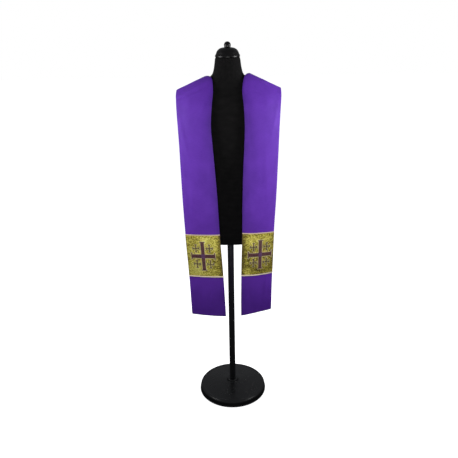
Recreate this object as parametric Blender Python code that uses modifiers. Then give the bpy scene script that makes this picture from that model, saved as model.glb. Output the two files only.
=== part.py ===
"""Clerical stole on a limbless dress form.

Metres, +Z up, the front faces -Y, the origin on the floor under the pole. The stole is two long strips of
purple cloth that hang down the front, go over the shoulders and meet in a mitred seam at the centre of the
back. Each strip carries a gold band between two trims, and a Jerusalem cross on the band. "Right" and "left"
are the wearer's.
"""

import math
from collections import namedtuple

import bmesh
import bpy
from mathutils import Vector

# --- The stole's cut ---------------------------------------------------------------------------------
CLOTH = 0.0018  # thickness of the doubled purple cloth
GAP = 0.0003  # between pieces that are sewn edge to edge
SEAM_GAP = 0.0005  # between the two strips at the centre of the back
LAID_GAP = 0.0004  # between a piece and the one sewn onto it
BAND_CLOTH = 0.0012
TRIM_THICK = 0.0020
CROSS_THICK = 0.0010
CROSS_STEP = 0.018  # longest facet of a cross, so that it follows the curve under it
BAND_FOOT = 0.1911  # length along the strip from its hem to the band's lower edge
BAND_HEAD = 0.3720
HEAD_TRIM = 0.0045  # height of the trim over the band
FOOT_TRIM = 0.0060  # height of the trim under it
EDGE_INSET = 0.006  # how far sewn-on pieces stop short of the strip's edge, as a share of its half width

STRIP_STEP = 0.0155  # length of one facet along a strip
STRIP_COLUMNS = 8
SAMPLES = 16  # steps of the smooth rails between two sections

# --- How a strip lies --------------------------------------------------------------------------------
# One row for each section across it, from the front hem to the centre of the back. inner_ and outer_ are the
# ends of the section, and x is measured outwards from the form's axis. crown is how far the middle of the
# cloth stands out from the straight line between the two ends.
Section = namedtuple("Section", "inner_x inner_y inner_z outer_x outer_y outer_z crown")

RIGHT_SECTIONS = (
    Section(0.0257, -0.156, 0.4842, 0.1730, -0.122, 0.4810, 0.003),  # hem
    Section(0.0332, -0.150, 0.672, 0.1783, -0.122, 0.667, 0.004),  # foot of the band
    Section(0.0451, -0.143, 0.861, 0.1868, -0.117, 0.856, 0.005),  # head of the band
    Section(0.0508, -0.138, 1.000, 0.1915, -0.112, 0.997, 0.006),  # waist
    Section(0.0582, -0.134, 1.120, 0.1942, -0.106, 1.118, 0.007),  # ribs
    Section(0.0649, -0.129, 1.220, 0.1960, -0.100, 1.220, 0.008),  # chest
    Section(0.0698, -0.124, 1.300, 0.1989, -0.091, 1.300, 0.009),  # upper chest
    Section(0.0661, -0.110, 1.368, 0.2020, -0.074, 1.361, 0.008),  # collarbone
    Section(0.0598, -0.080, 1.426, 0.2046, -0.044, 1.402, 0.007),  # front of the shoulder
    Section(0.0638, -0.036, 1.4728, 0.2044, -0.017, 1.421, 0.003),  # corner of the neckline
    Section(0.0871, 0.002, 1.4766, 0.2014, 0.006, 1.4239, 0.0010),  # crest of the shoulder
    Section(0.0790, 0.043, 1.4605, 0.1855, 0.050, 1.4065, 0.0023),  # back of the shoulder
    Section(0.0480, 0.067, 1.436, 0.1380, 0.088, 1.357, 0.003),  # shoulder blade
    Section(0.0002, 0.084, 1.405, 0.0002, 0.110, 1.240, 0.007),  # mitred seam
)
LEFT_SECTIONS = (
    Section(0.0414, -0.156, 0.4862, 0.1734, -0.103, 0.4878, 0.001),
    Section(0.0434, -0.150, 0.672, 0.1755, -0.110, 0.6675, 0.009),
    Section(0.0493, -0.143, 0.8636, 0.1805, -0.1115, 0.8567, 0.008),
    Section(0.0517, -0.138, 1.004, 0.1879, -0.1075, 1.001, 0.007),
    Section(0.0555, -0.134, 1.124, 0.1925, -0.1035, 1.122, 0.007),
    Section(0.0607, -0.129, 1.222, 0.1959, -0.098, 1.222, 0.008),
    Section(0.0630, -0.124, 1.300, 0.1991, -0.091, 1.300, 0.009),
    Section(0.0606, -0.110, 1.368, 0.2034, -0.073, 1.361, 0.008),
    Section(0.0555, -0.080, 1.428, 0.2080, -0.043, 1.403, 0.006),
    Section(0.0648, -0.036, 1.4774, 0.2089, -0.015, 1.4205, 0.004),
    Section(0.0853, 0.002, 1.4848, 0.2069, 0.006, 1.4263, 0.0),
    Section(0.0830, 0.042, 1.4634, 0.1885, 0.050, 1.410, 0.0027),
    Section(0.0490, 0.067, 1.437, 0.1390, 0.088, 1.358, 0.003),
    Section(0.0002, 0.084, 1.405, 0.0002, 0.110, 1.240, 0.007),
)

# --- The Jerusalem cross: one large cross potent with a small one in each corner -----------------------
Potent = namedtuple("Potent", "half_width half_height upright level end_bar end_wide end_tall")
LARGE_CROSS = Potent(0.0512, 0.0648, 0.0150, 0.0172, 0.0045, 0.0215, 0.0310)
SMALL_CROSS = Potent(0.0145, 0.0180, 0.0045, 0.0045, 0.0035, 0.0110, 0.0130)
SMALL_OUT = 0.0285  # centre of a small cross from the large one's, across the strip
SMALL_UP = 0.0350  # and along it
CROSS_OUTWARDS = {"right": 0.0030, "left": 0.0070}  # the emblem's centre, from the middle of the strip
CROSS_LOWER = {"right": 0.0006, "left": 0.0020}  # and how far it sits below the middle of the band

# --- The form ----------------------------------------------------------------------------------------
BASE_RADIUS = 0.1580
POLE_RADIUS = 0.0140
POLE_FOOT = 0.0543
TORSO_FOOT = 0.790
NECK_TOP = 1.5480
AROUND = 40  # facets around the torso
TURNED_STEPS = 40

# One row for each level of the torso: the half width, the half depth in front and behind, and the squareness
# of the section, where 2 is an ellipse.
Level = namedtuple("Level", "z half_width front back squareness")
TORSO_LEVELS = (
    Level(TORSO_FOOT, 0.160, 0.096, 0.104, 2.2),
    Level(0.830, 0.168, 0.102, 0.114, 2.2),
    Level(0.900, 0.166, 0.102, 0.113, 2.2),
    Level(0.980, 0.150, 0.098, 0.096, 2.1),
    Level(1.050, 0.142, 0.099, 0.087, 2.1),
    Level(1.120, 0.146, 0.106, 0.090, 2.1),
    Level(1.200, 0.160, 0.115, 0.100, 2.1),
    Level(1.270, 0.175, 0.118, 0.103, 2.1),
    Level(1.330, 0.188, 0.112, 0.097, 2.1),
    Level(1.375, 0.196, 0.100, 0.087, 2.1),
    Level(1.402, 0.198, 0.086, 0.078, 2.1),
    Level(1.415, 0.194, 0.075, 0.070, 2.0),
    Level(1.426, 0.183, 0.067, 0.064, 2.0),
    Level(1.438, 0.161, 0.061, 0.060, 2.0),
    Level(1.4490, 0.138, 0.058, 0.058, 2.0),
    Level(1.459, 0.109, 0.056, 0.056, 2.0),
    Level(1.468, 0.082, 0.055, 0.055, 2.0),
    Level(1.478, 0.0655, 0.0545, 0.0545, 2.0),
    Level(1.488, 0.0592, 0.0540, 0.0540, 2.0),
    Level(1.500, 0.0560, 0.0535, 0.0535, 2.0),
    Level(1.515, 0.0530, 0.0520, 0.0520, 2.0),
    Level(1.532, 0.0510, 0.0505, 0.0505, 2.0),
    Level(NECK_TOP, 0.0488, 0.0488, 0.0488, 2.0),
)

# Turned profiles, each a list of (radius, height) from the top of the outer side to the bottom.
CAP_PROFILE = (
    (0.0, 1.5832),
    (0.0120, 1.5831),
    (0.0225, 1.5822),
    (0.0310, 1.5794),
    (0.0378, 1.5738),
    (0.0422, 1.5668),
    (0.0452, 1.5596),
    (0.0471, 1.5556),
    (0.0486, 1.5532),
    (0.0488, 1.5505),
    (0.0482, 1.5483),
    (0.0, 1.5483),
)
KNOB_FOOT = 1.5836
KNOB_STEM = 0.0121
KNOB_RADIUS = 0.0132
KNOB_CENTRE = 1.5923
BASE_PROFILE = (
    (0.0, 0.0540),
    (0.0240, 0.0540),
    (0.0270, 0.0520),
    (0.0290, 0.0440),
    (0.0450, 0.0400),
    (0.0900, 0.0360),
    (0.1285, 0.0315),
    (0.1385, 0.0290),
    (0.1450, 0.0285),
    (0.1505, 0.0265),
    (0.1545, 0.0220),
    (0.1560, 0.0160),
    (0.1570, 0.0070),
    (BASE_RADIUS, 0.0040),
    (BASE_RADIUS, 0.0010),
    (0.1570, 0.0),
    (0.0, 0.0),
)


def new_collection(name):
    collection = bpy.data.collections.new(name)
    bpy.context.scene.collection.children.link(collection)
    return collection


def new_material(name, colour, roughness, metallic=0.0):
    material = bpy.data.materials.new(name)
    material.use_nodes = True
    shader = material.node_tree.nodes["Principled BSDF"]
    shader.inputs["Base Color"].default_value = (*colour, 1.0)
    shader.inputs["Roughness"].default_value = roughness
    shader.inputs["Metallic"].default_value = metallic
    return material


def add_object(name, bm, collection, material, sharp_deg=40.0):
    mesh = bpy.data.meshes.new(name)
    bm.to_mesh(mesh)
    bm.free()
    mesh.shade_smooth()
    mesh.set_sharp_from_angle(angle=math.radians(sharp_deg))
    mesh.materials.append(material)
    obj = bpy.data.objects.new(name, mesh)
    collection.objects.link(obj)
    return obj


class Strip:
    """The underside of one strip: a smooth surface through its sections, by length along its middle line."""

    def __init__(self, side, sections):
        self.side = side
        self.rows = []
        last = len(sections) - 1
        for i in range(last):
            around = [sections[max(0, min(last, i + k))] for k in (-1, 0, 1, 2)]
            for step in range(SAMPLES):
                self.rows.append(self.between(around, step / SAMPLES))
        self.rows.append(Section(*sections[-1]))
        self.lengths = [0.0]
        for before, after in zip(self.rows, self.rows[1:]):
            self.lengths.append(self.lengths[-1] + (self.middle(after) - self.middle(before)).length)
        self.length = self.lengths[-1]

    @staticmethod
    def between(around, t):
        """A Catmull-Rom step through four sections, value by value."""
        values = []
        for a, b, c, d in zip(*around):
            slope_b, slope_c = (c - a) / 2, (d - b) / 2
            values.append(
                b * (2 * t**3 - 3 * t**2 + 1)
                + slope_b * (t**3 - 2 * t**2 + t)
                + c * (3 * t**2 - 2 * t**3)
                + slope_c * (t**3 - t**2)
            )
        return Section(*values)

    def middle(self, row):
        return (self.inner(row) + self.outer(row)) / 2

    def inner(self, row):
        return Vector((self.side * row.inner_x, row.inner_y, row.inner_z))

    def outer(self, row):
        return Vector((self.side * row.outer_x, row.outer_y, row.outer_z))

    def row_at(self, length):
        length = max(0.0, min(self.length, length))
        i = 0
        while i < len(self.lengths) - 2 and self.lengths[i + 1] < length:
            i += 1
        share = (length - self.lengths[i]) / (self.lengths[i + 1] - self.lengths[i])
        return Section(*(a + (b - a) * share for a, b in zip(self.rows[i], self.rows[i + 1])))

    def chord_point(self, length, across):
        row = self.row_at(length)
        return self.inner(row).lerp(self.outer(row), (across + 1) / 2)

    def chord_normal(self, length):
        """Out of the cloth: away from the form on the front, the shoulder and the back."""
        probe = 0.004
        along = self.chord_point(length + probe, 0.0) - self.chord_point(length - probe, 0.0)
        outwards = self.chord_point(length, 1.0) - self.chord_point(length, -1.0)
        return (outwards.cross(along) * self.side).normalized()

    def crowned_point(self, length, across):
        """A point of the curved cloth, kept on its own side of the seam at the centre of the back."""
        crown = self.row_at(length).crown * (1 - across**2)
        point = self.chord_point(length, across) + self.chord_normal(length) * crown
        point.x = self.side * max(self.side * point.x, SEAM_GAP / 2)
        return point

    def normal(self, length, across):
        probe = 0.004
        aside = 0.05
        along = self.crowned_point(length + probe, across) - self.crowned_point(length - probe, across)
        outwards = self.crowned_point(length, across + aside) - self.crowned_point(length, across - aside)
        return (outwards.cross(along) * self.side).normalized()

    def point(self, length, across, lift=0.0):
        """A point at a length from the hem; across runs from -1 at the inner edge to 1 at the outer edge."""
        return self.crowned_point(length, across) + self.normal(length, across) * lift

    def half_width(self, length):
        row = self.row_at(length)
        return (self.outer(row) - self.inner(row)).length / 2


def evenly(start, stop, count):
    return [start + (stop - start) * i / count for i in range(count + 1)]


def laid_piece(name, strip, lengths, across, lift, thickness, collection, material, keep=None):
    """A piece of cloth made from the strip's points, moved out by lift: a grid over the listed lengths and
    places across, less the cells that keep() refuses, thickened outwards."""
    bm = bmesh.new()
    columns, rows = len(across), len(lengths)
    bmesh.ops.create_grid(bm, x_segments=columns - 1, y_segments=rows - 1, size=1.0)
    for vert in bm.verts:
        column = round((vert.co.x + 1) / 2 * (columns - 1))
        row = round((vert.co.y + 1) / 2 * (rows - 1))
        vert.co = (across[column], lengths[row], 0.0)
    if keep:
        outside = [face for face in bm.faces if not keep(*face.calc_center_median()[:2])]
        bmesh.ops.delete(bm, geom=outside, context="FACES")
    for vert in bm.verts:
        vert.co = strip.point(vert.co.y, vert.co.x, lift)
    if strip.side < 0:
        bmesh.ops.reverse_faces(bm, faces=bm.faces)
    obj = add_object(name, bm, collection, material, sharp_deg=50.0)
    shell = obj.modifiers.new("thickness", "SOLIDIFY")
    shell.thickness = thickness
    shell.offset = 1.0
    shell.use_even_offset = True
    return obj


def bars(cross, centre_along, centre_out):
    """The cross potent as rectangles (from_out, to_out, from_along, to_along)."""
    rectangles = []
    for half_out, half_along in (
        (cross.half_width, cross.level / 2),
        (cross.upright / 2, cross.half_height),
    ):
        rectangles.append((-half_out, half_out, -half_along, half_along))
    for way in (-1, 1):
        near, far = sorted((way * (cross.half_width - cross.end_bar), way * cross.half_width))
        rectangles.append((near, far, -cross.end_tall / 2, cross.end_tall / 2))
        near, far = sorted((way * (cross.half_height - cross.end_bar), way * cross.half_height))
        rectangles.append((-cross.end_wide / 2, cross.end_wide / 2, near, far))
    return [
        (a + centre_out, b + centre_out, c + centre_along, d + centre_along) for a, b, c, d in rectangles
    ]


def cuts(values, longest):
    """The sorted values, with long steps divided so that the piece follows the curve under it."""
    ordered = sorted({round(v, 7) for v in values})
    line = [ordered[0]]
    for before, after in zip(ordered, ordered[1:]):
        parts = max(1, math.ceil((after - before) / longest))
        line += evenly(before, after, parts)[1:]
    return line


def cross_piece(name, strip, cross, centre_along, centre_out, lift, collection, material):
    rectangles = bars(cross, centre_along, centre_out)
    half_width = strip.half_width(centre_along)
    outs = cuts([value for r in rectangles for value in r[:2]], CROSS_STEP)
    alongs = cuts([value for r in rectangles for value in r[2:]], CROSS_STEP)

    def keep(across, along):
        out = across * half_width
        return any(a < out < b and c < along < d for a, b, c, d in rectangles)

    across = [out / half_width for out in outs]
    return laid_piece(name, strip, alongs, across, lift, CROSS_THICK, collection, material, keep)


def make_strip_set(label, strip, collection, materials):
    """One side of the stole: the strip, its gold band, the two trims and the five crosses."""
    rows = round(strip.length / STRIP_STEP)
    across = evenly(-1.0, 1.0, STRIP_COLUMNS)
    laid_piece(
        f"strip_{label}", strip, evenly(0.0, strip.length, rows), across, 0.0, CLOTH, collection,
        materials["purple"],
    )
    inset = [value * (1 - EDGE_INSET) for value in across]
    on_strip = CLOTH + LAID_GAP
    band_rows = round((BAND_HEAD - BAND_FOOT) / STRIP_STEP)
    laid_piece(
        f"band_{label}", strip, evenly(BAND_FOOT, BAND_HEAD, band_rows), inset, on_strip, BAND_CLOTH,
        collection, materials["gold"],
    )
    head = (BAND_HEAD + GAP, BAND_HEAD + GAP + HEAD_TRIM)
    foot = (BAND_FOOT - GAP - FOOT_TRIM, BAND_FOOT - GAP)
    laid_piece(
        f"trim_head_{label}", strip, head, inset, on_strip, TRIM_THICK, collection, materials["trim"]
    )
    laid_piece(
        f"trim_foot_{label}", strip, foot, inset, on_strip, TRIM_THICK, collection, materials["trim"]
    )
    on_band = on_strip + BAND_CLOTH + LAID_GAP
    middle = (BAND_FOOT + BAND_HEAD) / 2 - CROSS_LOWER[label]
    centre_out = CROSS_OUTWARDS[label]
    cross_piece(
        f"cross_{label}", strip, LARGE_CROSS, middle, centre_out, on_band, collection, materials["thread"]
    )
    corners = [(up, out) for up in (-1, 1) for out in (-1, 1)]
    for number, (up, out) in enumerate(corners, start=1):
        cross_piece(
            f"small_cross_{label}_{number}", strip, SMALL_CROSS, middle + up * SMALL_UP,
            centre_out + out * SMALL_OUT, on_band, collection, materials["thread"],
        )


def torso_ring(level):
    """One level of the torso, run anticlockwise as seen from above."""
    ring = []
    for i in range(AROUND):
        angle = 2 * math.pi * i / AROUND
        c, s = math.cos(angle), math.sin(angle)
        depth = level.back if s > 0 else level.front
        power = 2 / level.squareness
        x = level.half_width * math.copysign(abs(c) ** power, c)
        y = depth * math.copysign(abs(s) ** power, s)
        ring.append(Vector((x, y, level.z)))
    return ring


def make_torso(collection, material):
    """Unlike sections lofted from the hips to the top of the neck, closed by flat ends."""
    bm = bmesh.new()
    rings = [[bm.verts.new(point) for point in torso_ring(level)] for level in TORSO_LEVELS]
    for lower, upper in zip(rings, rings[1:]):
        for i in range(AROUND):
            j = (i + 1) % AROUND
            bm.faces.new((lower[i], lower[j], upper[j], upper[i]))
    bm.faces.new(list(reversed(rings[0])))
    bm.faces.new(rings[-1])
    return add_object("form_torso", bm, collection, material)


def make_turned(name, profile, collection, material):
    """A profile turned about the vertical axis by a Screw modifier."""
    bm = bmesh.new()
    verts = [bm.verts.new((radius, 0.0, height)) for radius, height in profile]
    for before, after in zip(verts, verts[1:]):
        bm.edges.new((before, after))
    obj = add_object(name, bm, collection, material)
    screw = obj.modifiers.new("turned", "SCREW")
    screw.axis = "Z"
    screw.steps = TURNED_STEPS
    screw.render_steps = TURNED_STEPS
    screw.use_merge_vertices = True
    screw.merge_threshold = 0.00001
    screw.use_smooth_shade = True
    return obj


def knob_profile():
    """A ball on a short stem."""
    profile = []
    join = math.asin(KNOB_STEM / KNOB_RADIUS)
    arc_steps = 9
    for i in range(arc_steps + 1):
        angle = (math.pi - join) * i / arc_steps
        profile.append((KNOB_RADIUS * math.sin(angle), KNOB_CENTRE + KNOB_RADIUS * math.cos(angle)))
    profile.append((KNOB_STEM, KNOB_FOOT))
    profile.append((0.0, KNOB_FOOT))
    return profile


def make_pole(collection, material):
    top = TORSO_FOOT - GAP
    bm = bmesh.new()
    bmesh.ops.create_cone(
        bm, cap_ends=True, segments=24, radius1=POLE_RADIUS, radius2=POLE_RADIUS, depth=top - POLE_FOOT
    )
    bmesh.ops.translate(bm, verts=bm.verts, vec=(0.0, 0.0, (top + POLE_FOOT) / 2))
    return add_object("form_pole", bm, collection, material)


def make_form(collection, materials):
    make_torso(collection, materials["jersey"])
    make_turned("form_cap", CAP_PROFILE, collection, materials["gloss"])
    make_turned("form_knob", knob_profile(), collection, materials["gloss"])
    make_turned("form_base", BASE_PROFILE, collection, materials["gloss"])
    make_pole(collection, materials["steel"])


def main():
    for obj in list(bpy.data.objects):
        bpy.data.objects.remove(obj, do_unlink=True)
    materials = {
        "purple": new_material("purple cloth", (0.10, 0.03, 0.36), 0.70),
        "gold": new_material("gold cloth", (0.42, 0.33, 0.06), 0.45, 0.3),
        "trim": new_material("cream trim", (0.80, 0.66, 0.42), 0.60),
        "thread": new_material("maroon thread", (0.13, 0.03, 0.09), 0.55),
        "jersey": new_material("black jersey", (0.010, 0.010, 0.011), 0.85),
        "gloss": new_material("black gloss", (0.008, 0.008, 0.009), 0.25),
        "steel": new_material("black steel", (0.012, 0.012, 0.013), 0.35, 0.2),
    }
    collection = new_collection("clerical_stole")
    make_strip_set("right", Strip(-1, RIGHT_SECTIONS), collection, materials)
    make_strip_set("left", Strip(1, LEFT_SECTIONS), collection, materials)
    make_form(collection, materials)


main()
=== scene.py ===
"""A clerical stole on a limbless dress form.

Metres, +Z up. The front faces -Y, and the origin is on the floor under the pole. "Right" and "left" are the
wearer's. The sections follow the object as it is put together: the form from the floor up, then the stole's
two strips, and then what is sewn onto them.
"""

import math
from collections import namedtuple

import bmesh
import bpy
import numpy as np
from mathutils import Matrix, Vector, noise


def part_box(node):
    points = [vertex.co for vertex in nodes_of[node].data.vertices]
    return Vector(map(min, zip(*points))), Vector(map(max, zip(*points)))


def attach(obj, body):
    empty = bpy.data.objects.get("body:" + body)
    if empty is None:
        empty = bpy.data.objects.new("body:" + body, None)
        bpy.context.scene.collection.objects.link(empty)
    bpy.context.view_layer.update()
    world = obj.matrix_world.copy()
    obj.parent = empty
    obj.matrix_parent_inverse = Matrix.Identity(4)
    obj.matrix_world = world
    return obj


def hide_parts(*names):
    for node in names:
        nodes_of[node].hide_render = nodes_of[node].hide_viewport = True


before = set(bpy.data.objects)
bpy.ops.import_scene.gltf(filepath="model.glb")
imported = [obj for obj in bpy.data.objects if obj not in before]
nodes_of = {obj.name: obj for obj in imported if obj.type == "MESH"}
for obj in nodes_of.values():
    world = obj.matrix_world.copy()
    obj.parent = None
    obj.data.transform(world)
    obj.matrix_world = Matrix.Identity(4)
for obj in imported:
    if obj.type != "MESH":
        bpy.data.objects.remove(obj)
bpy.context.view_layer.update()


# --- The camera ---------------------------------------------------------------------------------------
# It stands two and a quarter metres in front of the form, a hand above its head, looks down at the gold
# bands and leans a degree to one side.
CAMERA_PLACE = Vector((-0.0058, -2.244, 1.707))
LOOKS_DOWN = math.radians(21.37)
LEANS = math.radians(-0.98)
camera = bpy.data.cameras.new("camera")
camera.lens = 43.39
camera.sensor_width = 36.0
camera.clip_start = 0.05
camera.clip_end = 60.0
camera_object = bpy.data.objects.new("camera", camera)
bpy.context.scene.collection.objects.link(camera_object)
camera_object.matrix_world = (
    Matrix.Translation(CAMERA_PLACE)
    @ Matrix.Rotation(math.pi / 2 - LOOKS_DOWN, 4, "X")
    @ Matrix.Rotation(LEANS, 4, "Z")
)
bpy.context.scene.camera = camera_object


# --- The studio ---------------------------------------------------------------------------------------
# A plain white floor that runs past the picture's edges, a soft light close by on each side at the
# height of the chest, a weak one low in front, and one behind that lights the back but leaves no
# highlights. The room is dark below, so the hems lie deeper in shade than the shoulders.
FLOOR_HALF = 14.0
ROOM_BELOW = 0.02
ROOM_ABOVE = 0.23
ROOM_TURN = 0.4  # how steep a way down or up has to be to look at either of them
bpy.context.scene.view_settings.view_transform = "Standard"


def set_inputs(node, values):
    """Sets a node's inputs by their names or numbers."""
    for key, value in values.items():
        node.inputs[key].default_value = value


def add_node(nodes, kind, values=None, **settings):
    """A new node of the kind, with its inputs and its own settings."""
    node = nodes.new(f"ShaderNode{kind}")
    for key, value in settings.items():
        setattr(node, key, value)
    set_inputs(node, values or {})
    return node


def wire(links, *ways):
    """Joins nodes. Each way is a node, its output, the next node, and its input."""
    for source, output, target, entry in ways:
        links.new(source.outputs[output], target.inputs[entry])


def new_material(name, values):
    """A material whose shader has these inputs. Its nodes, links and shader come with it."""
    material = bpy.data.materials.new(name)
    material.use_nodes = True
    nodes, links = material.node_tree.nodes, material.node_tree.links
    shader = nodes["Principled BSDF"]
    set_inputs(shader, values)
    return material, nodes, links, shader


floor_bm = bmesh.new()
bmesh.ops.create_grid(floor_bm, x_segments=8, y_segments=8, size=FLOOR_HALF)
floor_mesh = bpy.data.meshes.new("studio_floor")
floor_bm.to_mesh(floor_mesh)
floor_bm.free()
floor = bpy.data.objects.new("studio_floor", floor_mesh)
bpy.context.scene.collection.objects.link(floor)
floor_material, *_ = new_material(
    "matt white floor",
    {
        "Base Color": (0.95, 0.95, 0.95, 1.0),
        "Roughness": 0.9,
        "Specular IOR Level": 0.1,
        "Emission Color": (1.0, 1.0, 1.0, 1.0),
        "Emission Strength": 0.90,
    },
)
floor_mesh.materials.append(floor_material)
floor.visible_diffuse = False
floor.visible_glossy = False

world = bpy.data.worlds.new("studio")
bpy.context.scene.world = world
world.use_nodes = True
nodes, links = world.node_tree.nodes, world.node_tree.links
seen = nodes["Background"]
set_inputs(seen, {"Color": (1.0, 1.0, 1.0, 1.0)})
room = add_node(nodes, "Background", {"Color": (0.93, 0.96, 1.0, 1.0)})
direction = add_node(nodes, "TexCoord")
upwards = add_node(nodes, "SeparateXYZ")
dimming = add_node(
    nodes, "MapRange",
    {"From Min": -ROOM_TURN, "From Max": ROOM_TURN, "To Min": ROOM_BELOW, "To Max": ROOM_ABOVE},
)
ray = add_node(nodes, "LightPath")
either = add_node(nodes, "MixShader")
wire(
    links,
    (direction, "Generated", upwards, "Vector"),
    (upwards, "Z", dimming, "Value"),
    (dimming, "Result", room, "Strength"),
    (ray, "Is Camera Ray", either, 0),
    (room, 0, either, 1),
    (seen, 0, either, 2),
    (either, 0, nodes["World Output"], 0),
)

Softbox = namedtuple("Softbox", "name place aim width height spread watts glares")
SOFTBOXES = (
    Softbox("light_right", (-1.006, -0.312, 1.430), (-0.14, -0.08, 1.34), 0.5, 0.9, 106.0, 3.8, True),
    Softbox("light_left", (1.006, -0.312, 1.430), (0.14, -0.08, 1.34), 0.5, 0.9, 106.0, 4.7, True),
    Softbox("light_front", (0.0, -1.282, 1.060), (0.0, -0.10, 1.25), 0.7, 0.7, 90.0, 1.88, True),
    Softbox("light_behind", (0.25, 1.45, 1.75), (0.0, 0.0, 1.15), 0.9, 0.9, 180.0, 20.0, False),
)
for softbox in SOFTBOXES:
    lamp = bpy.data.lights.new(softbox.name, "AREA")
    lamp.shape = "RECTANGLE"
    lamp.size = softbox.width
    lamp.size_y = softbox.height
    lamp.spread = math.radians(softbox.spread)
    lamp.energy = softbox.watts
    lamp_object = bpy.data.objects.new(softbox.name, lamp)
    bpy.context.scene.collection.objects.link(lamp_object)
    lamp_object.location = softbox.place
    lamp_object.rotation_euler = (
        (Vector(softbox.aim) - Vector(softbox.place)).to_track_quat("-Z", "Y").to_euler()
    )
    lamp_object.visible_camera = False
    lamp_object.visible_glossy = softbox.glares


# --- The round base -----------------------------------------------------------------------------------
# A heavy cast disc with a moulded rim and a boss for the pole, painted semi-gloss black. It is turned
# from one outline, whose corners are rounded.
Corner = namedtuple("Corner", "radius height fillet")
BASE_OUTLINE = (
    Corner(0.0000, 0.0540, 0.0),
    Corner(0.0262, 0.0540, 0.0030),  # top of the boss
    Corner(0.0290, 0.0430, 0.0030),
    Corner(0.0900, 0.0362, 0.0200),
    Corner(0.1388, 0.0288, 0.0030),  # foot of the rim's roll
    Corner(0.1455, 0.0297, 0.0035),
    Corner(0.1545, 0.0235, 0.0050),
    Corner(0.1563, 0.0060, 0.0015),
    Corner(0.1580, 0.0045, 0.0010),
    Corner(0.1580, 0.0000, 0.0010),
    Corner(0.0000, 0.0000, 0.0),
)


def rounded(outline, steps=5):
    """The outline with each corner eased by a short curve, from one fillet before it to one after."""
    line = []
    for i, corner in enumerate(outline):
        here = Vector((corner.radius, corner.height))
        if corner.fillet == 0.0:
            line.append(here)
            continue
        before = Vector(outline[i - 1][:2]) - here
        after = Vector(outline[i + 1][:2]) - here
        start = here + before.normalized() * min(corner.fillet, before.length * 0.48)
        stop = here + after.normalized() * min(corner.fillet, after.length * 0.48)
        for step in range(steps + 1):
            t = step / steps
            line.append(start * (1 - t) ** 2 + here * 2 * t * (1 - t) + stop * t**2)
    return line


def turned(outline, steps):
    """The outline turned once round the pole's axis, as one closed skin."""
    bm = bmesh.new()
    line = [bm.verts.new((point.x, 0.0, point.y)) for point in rounded(outline)]
    edges = [bm.edges.new(pair) for pair in zip(line, line[1:])]
    bmesh.ops.spin(
        bm, geom=line + edges, cent=(0, 0, 0), axis=(0, 0, 1), dvec=(0, 0, 0), angle=math.tau, steps=steps,
        use_merge=True,
    )
    bmesh.ops.remove_doubles(bm, verts=bm.verts, dist=0.00002)
    bmesh.ops.recalc_face_normals(bm, faces=bm.faces)
    return bm


def piece_from(bm, name, material, sharp_deg=60.0):
    """The finished mesh as an object that shades smooth, except at edges sharper than sharp_deg."""
    mesh = bpy.data.meshes.new(name)
    bm.to_mesh(mesh)
    bm.free()
    mesh.shade_smooth()
    mesh.set_sharp_from_angle(angle=math.radians(sharp_deg))
    mesh.materials.append(material)
    piece = bpy.data.objects.new(name, mesh)
    bpy.context.scene.collection.objects.link(piece)
    return piece


def black_finish(name, colour, rough_low, rough_high, grain, bump, specular=0.5):
    """A black coat whose gloss varies softly, as handled paint does, over a fine grain."""
    material, nodes, links, shader = new_material(
        name, {"Base Color": (*colour, 1.0), "Specular IOR Level": specular}
    )
    where = add_node(nodes, "TexCoord")
    smears = add_node(nodes, "TexNoise", {"Scale": 22.0, "Detail": 6.0})
    gloss = add_node(
        nodes, "MapRange", {"From Min": 0.35, "From Max": 0.70, "To Min": rough_low, "To Max": rough_high}
    )
    skin = add_node(nodes, "TexNoise", {"Scale": grain, "Detail": 3.0})
    relief = add_node(nodes, "Bump", {"Strength": bump, "Distance": 0.0005})
    wire(
        links,
        (where, "Object", smears, "Vector"),
        (where, "Object", skin, "Vector"),
        (smears, "Fac", gloss, "Value"),
        (gloss, "Result", shader, "Roughness"),
        (skin, "Fac", relief, "Height"),
        (relief, "Normal", shader, "Normal"),
    )
    return material


base = piece_from(
    turned(BASE_OUTLINE, steps=120), "round_base",
    black_finish("black base paint", (0.006, 0.006, 0.007), 0.22, 0.38, 420.0, 0.10),
)
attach(base, "root")
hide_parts("form_base")


# --- The pole -----------------------------------------------------------------------------------------
# A steel tube, powder-coated satin black, that stands in the base's boss and runs up into the torso. It
# is as tall as the CAD's, and its ends are eased.
POLE_RADIUS = 0.0140
POLE_EASE = 0.0004
pole_low, pole_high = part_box("form_pole")
POLE_OUTLINE = (
    Corner(0.0, pole_high.z, 0.0),
    Corner(POLE_RADIUS, pole_high.z, POLE_EASE),
    Corner(POLE_RADIUS, pole_low.z, POLE_EASE),
    Corner(0.0, pole_low.z, 0.0),
)
pole = piece_from(
    turned(POLE_OUTLINE, steps=64), "steel_pole",
    black_finish("satin powder coat", (0.010, 0.010, 0.011), 0.34, 0.46, 1600.0, 0.22),
)
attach(pole, "root")
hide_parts("form_pole")


# --- The torso ----------------------------------------------------------------------------------------
# A limbless body and neck in one smooth cover of black cotton jersey, pulled tight over a hollow shell
# and closed by a board at the hips.
JERSEY_WALE = 0.0016  # between two ribs of the knit
JERSEY_COURSE = 0.0012
NECK_GIRTH = 0.62  # nominal length around, for the knit's map
BOARD_INSET = 0.006


def rings_of(node):
    """The solid's level rings, lowest first, each run round from the centre of the back."""
    levels = {}
    for vert in nodes_of[node].data.vertices:
        levels.setdefault(round(vert.co.z, 4), {})[tuple(round(v, 5) for v in vert.co)] = vert.co.copy()
    return [
        sorted(levels[height].values(), key=lambda co: math.atan2(-co.x, -co.y))
        for height in sorted(levels)
    ]


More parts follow.
